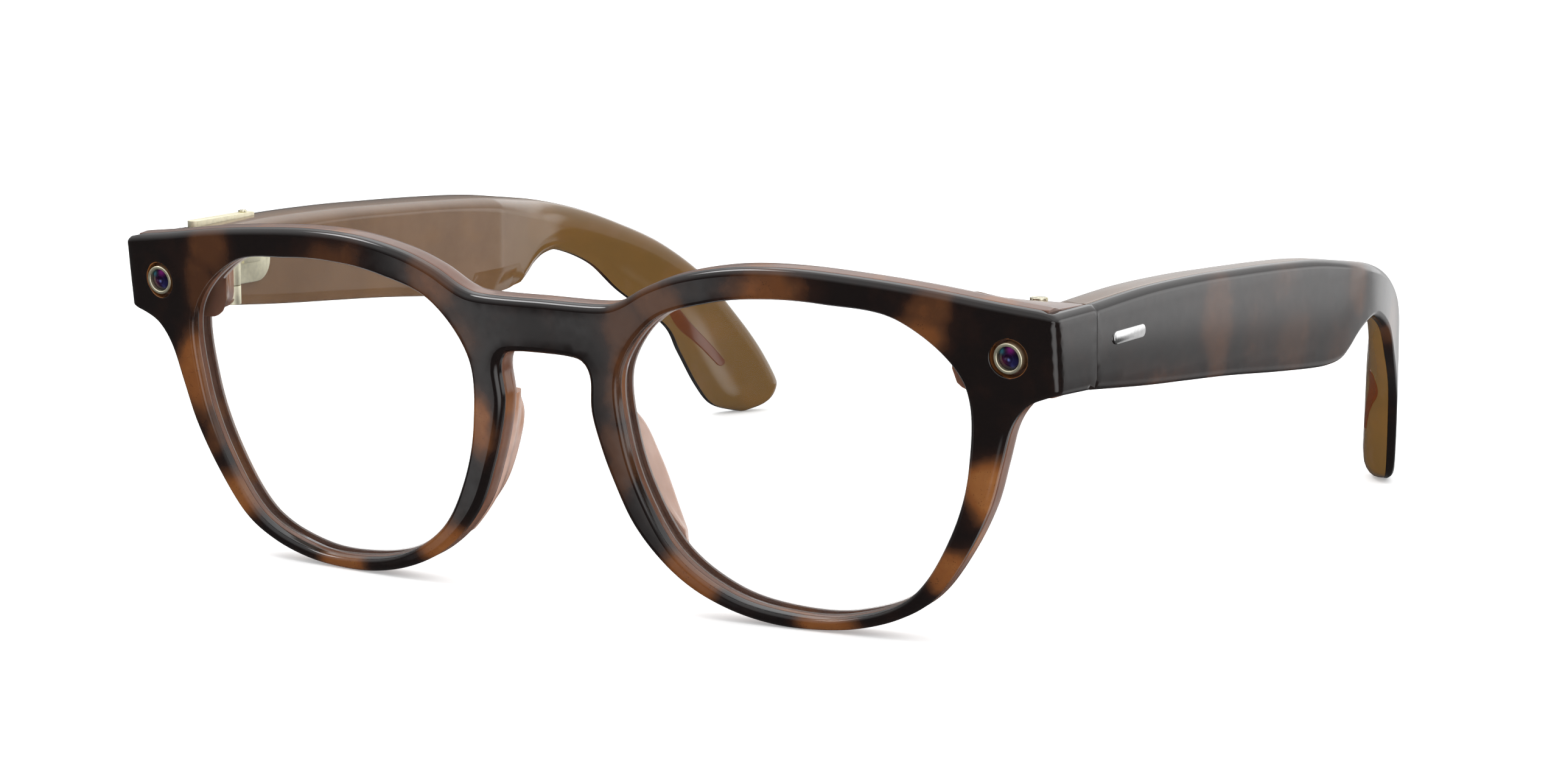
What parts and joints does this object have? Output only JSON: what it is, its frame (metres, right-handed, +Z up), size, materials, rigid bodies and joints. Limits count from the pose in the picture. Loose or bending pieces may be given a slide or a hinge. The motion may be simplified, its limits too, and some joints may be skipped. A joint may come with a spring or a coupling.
{
  "type": "smart glasses",
  "caption": "Smart glasses: keyhole-bridge acetate front with clear lenses and a camera, thick folding temples with speakers, battery and board, capture button and power slider.",
  "frame": {"origin": "centre of the footprint, on the surface that the open glasses stand on", "axes": "+Z up, +X to the wearer's left, the front faces -Y, the temples run back along +Y"},
  "size_m": [0.147, 0.149, 0.048],
  "materials": {
    "outer_acetate": "polished dark tortoise acetate",
    "inner_acetate": "polished translucent brown acetate",
    "pad_acetate": "polished translucent rose-brown acetate",
    "lens": "clear hard-coated lens",
    "gold_metal": "fine satin pale gold plating",
    "screw_metal": "turned pale gold plated steel",
    "coated_glass": "dark glass with a purple and blue coating",
    "black_plastic": "moulded black plastic",
    "led_body": "white LED package",
    "silver_metal": "plain can",
    "bright_inlay": "polished",
    "flex_film": "amber polyimide film",
    "amber_core": "amber core",
    "cell_foil": "foil pouch",
    "board": "solder-masked circuit board"
  },
  "bodies": {
    "front": {"front_outer_layer": "outer_acetate", "front_inner_layer": "inner_acetate", "nose_pad_left": "pad_acetate", "nose_pad_right": "pad_acetate", "lens_left": "lens", "lens_right": "lens", "camera_ring": "gold_metal", "light_ring": "gold_metal", "charge_contacts": "gold_metal", "hinge_front_left": "gold_metal", "hinge_front_right": "gold_metal", "hinge_screws": "screw_metal", "camera_cover": "coated_glass", "light_window": "coated_glass", "camera_module": "black_plastic", "contact_holder": "black_plastic", "light_led": "led_body", "bridge_microphone": "silver_metal", "brow_flex": "flex_film"},
    "temple_left": {"temple_outer_left": "outer_acetate", "temple_inner_left": "inner_acetate", "hinge_temple_left": "gold_metal", "plate_screw_left": "screw_metal", "speaker_left": "black_plastic", "microphone_left": "silver_metal", "inlay_left": "bright_inlay", "tip_core_left": "amber_core", "battery": "cell_foil", "power_switch": "black_plastic"},
    "power_slider": {"power_slider": "black_plastic"},
    "temple_right": {"temple_outer_right": "outer_acetate", "temple_inner_right": "inner_acetate", "hinge_temple_right": "gold_metal", "plate_screw_right": "screw_metal", "speaker_right": "black_plastic", "microphone_right": "silver_metal", "inlay_right": "bright_inlay", "tip_core_right": "amber_core", "main_board": "board", "touch_pad": "flex_film", "capture_switch": "black_plastic"},
    "capture_button": {"capture_button": "gold_metal", "button_stud": "screw_metal"}
  },
  "joints": [
    {"name": "temple_left_fold", "type": "hinge", "parent": "front", "child": "temple_left", "pos_m": [0.0645, -0.0566, 0.03835], "axis": [0, 0, 1], "range_deg": [0, 87]},
    {"name": "temple_right_fold", "type": "hinge", "parent": "front", "child": "temple_right", "pos_m": [-0.0645, -0.0566, 0.03835], "axis": [0, 0, -1], "range_deg": [0, 69]},
    {"name": "capture_press", "type": "slide", "parent": "temple_right", "child": "capture_button", "axis": [0, 0, -1], "range_m": [0, 0.0004], "stiffness_N_per_m": 1500},
    {"name": "power_slide", "type": "slide", "parent": "temple_left", "child": "power_slider", "axis": [0, 1, 0], "range_m": [0, 0.002]}
  ]
}
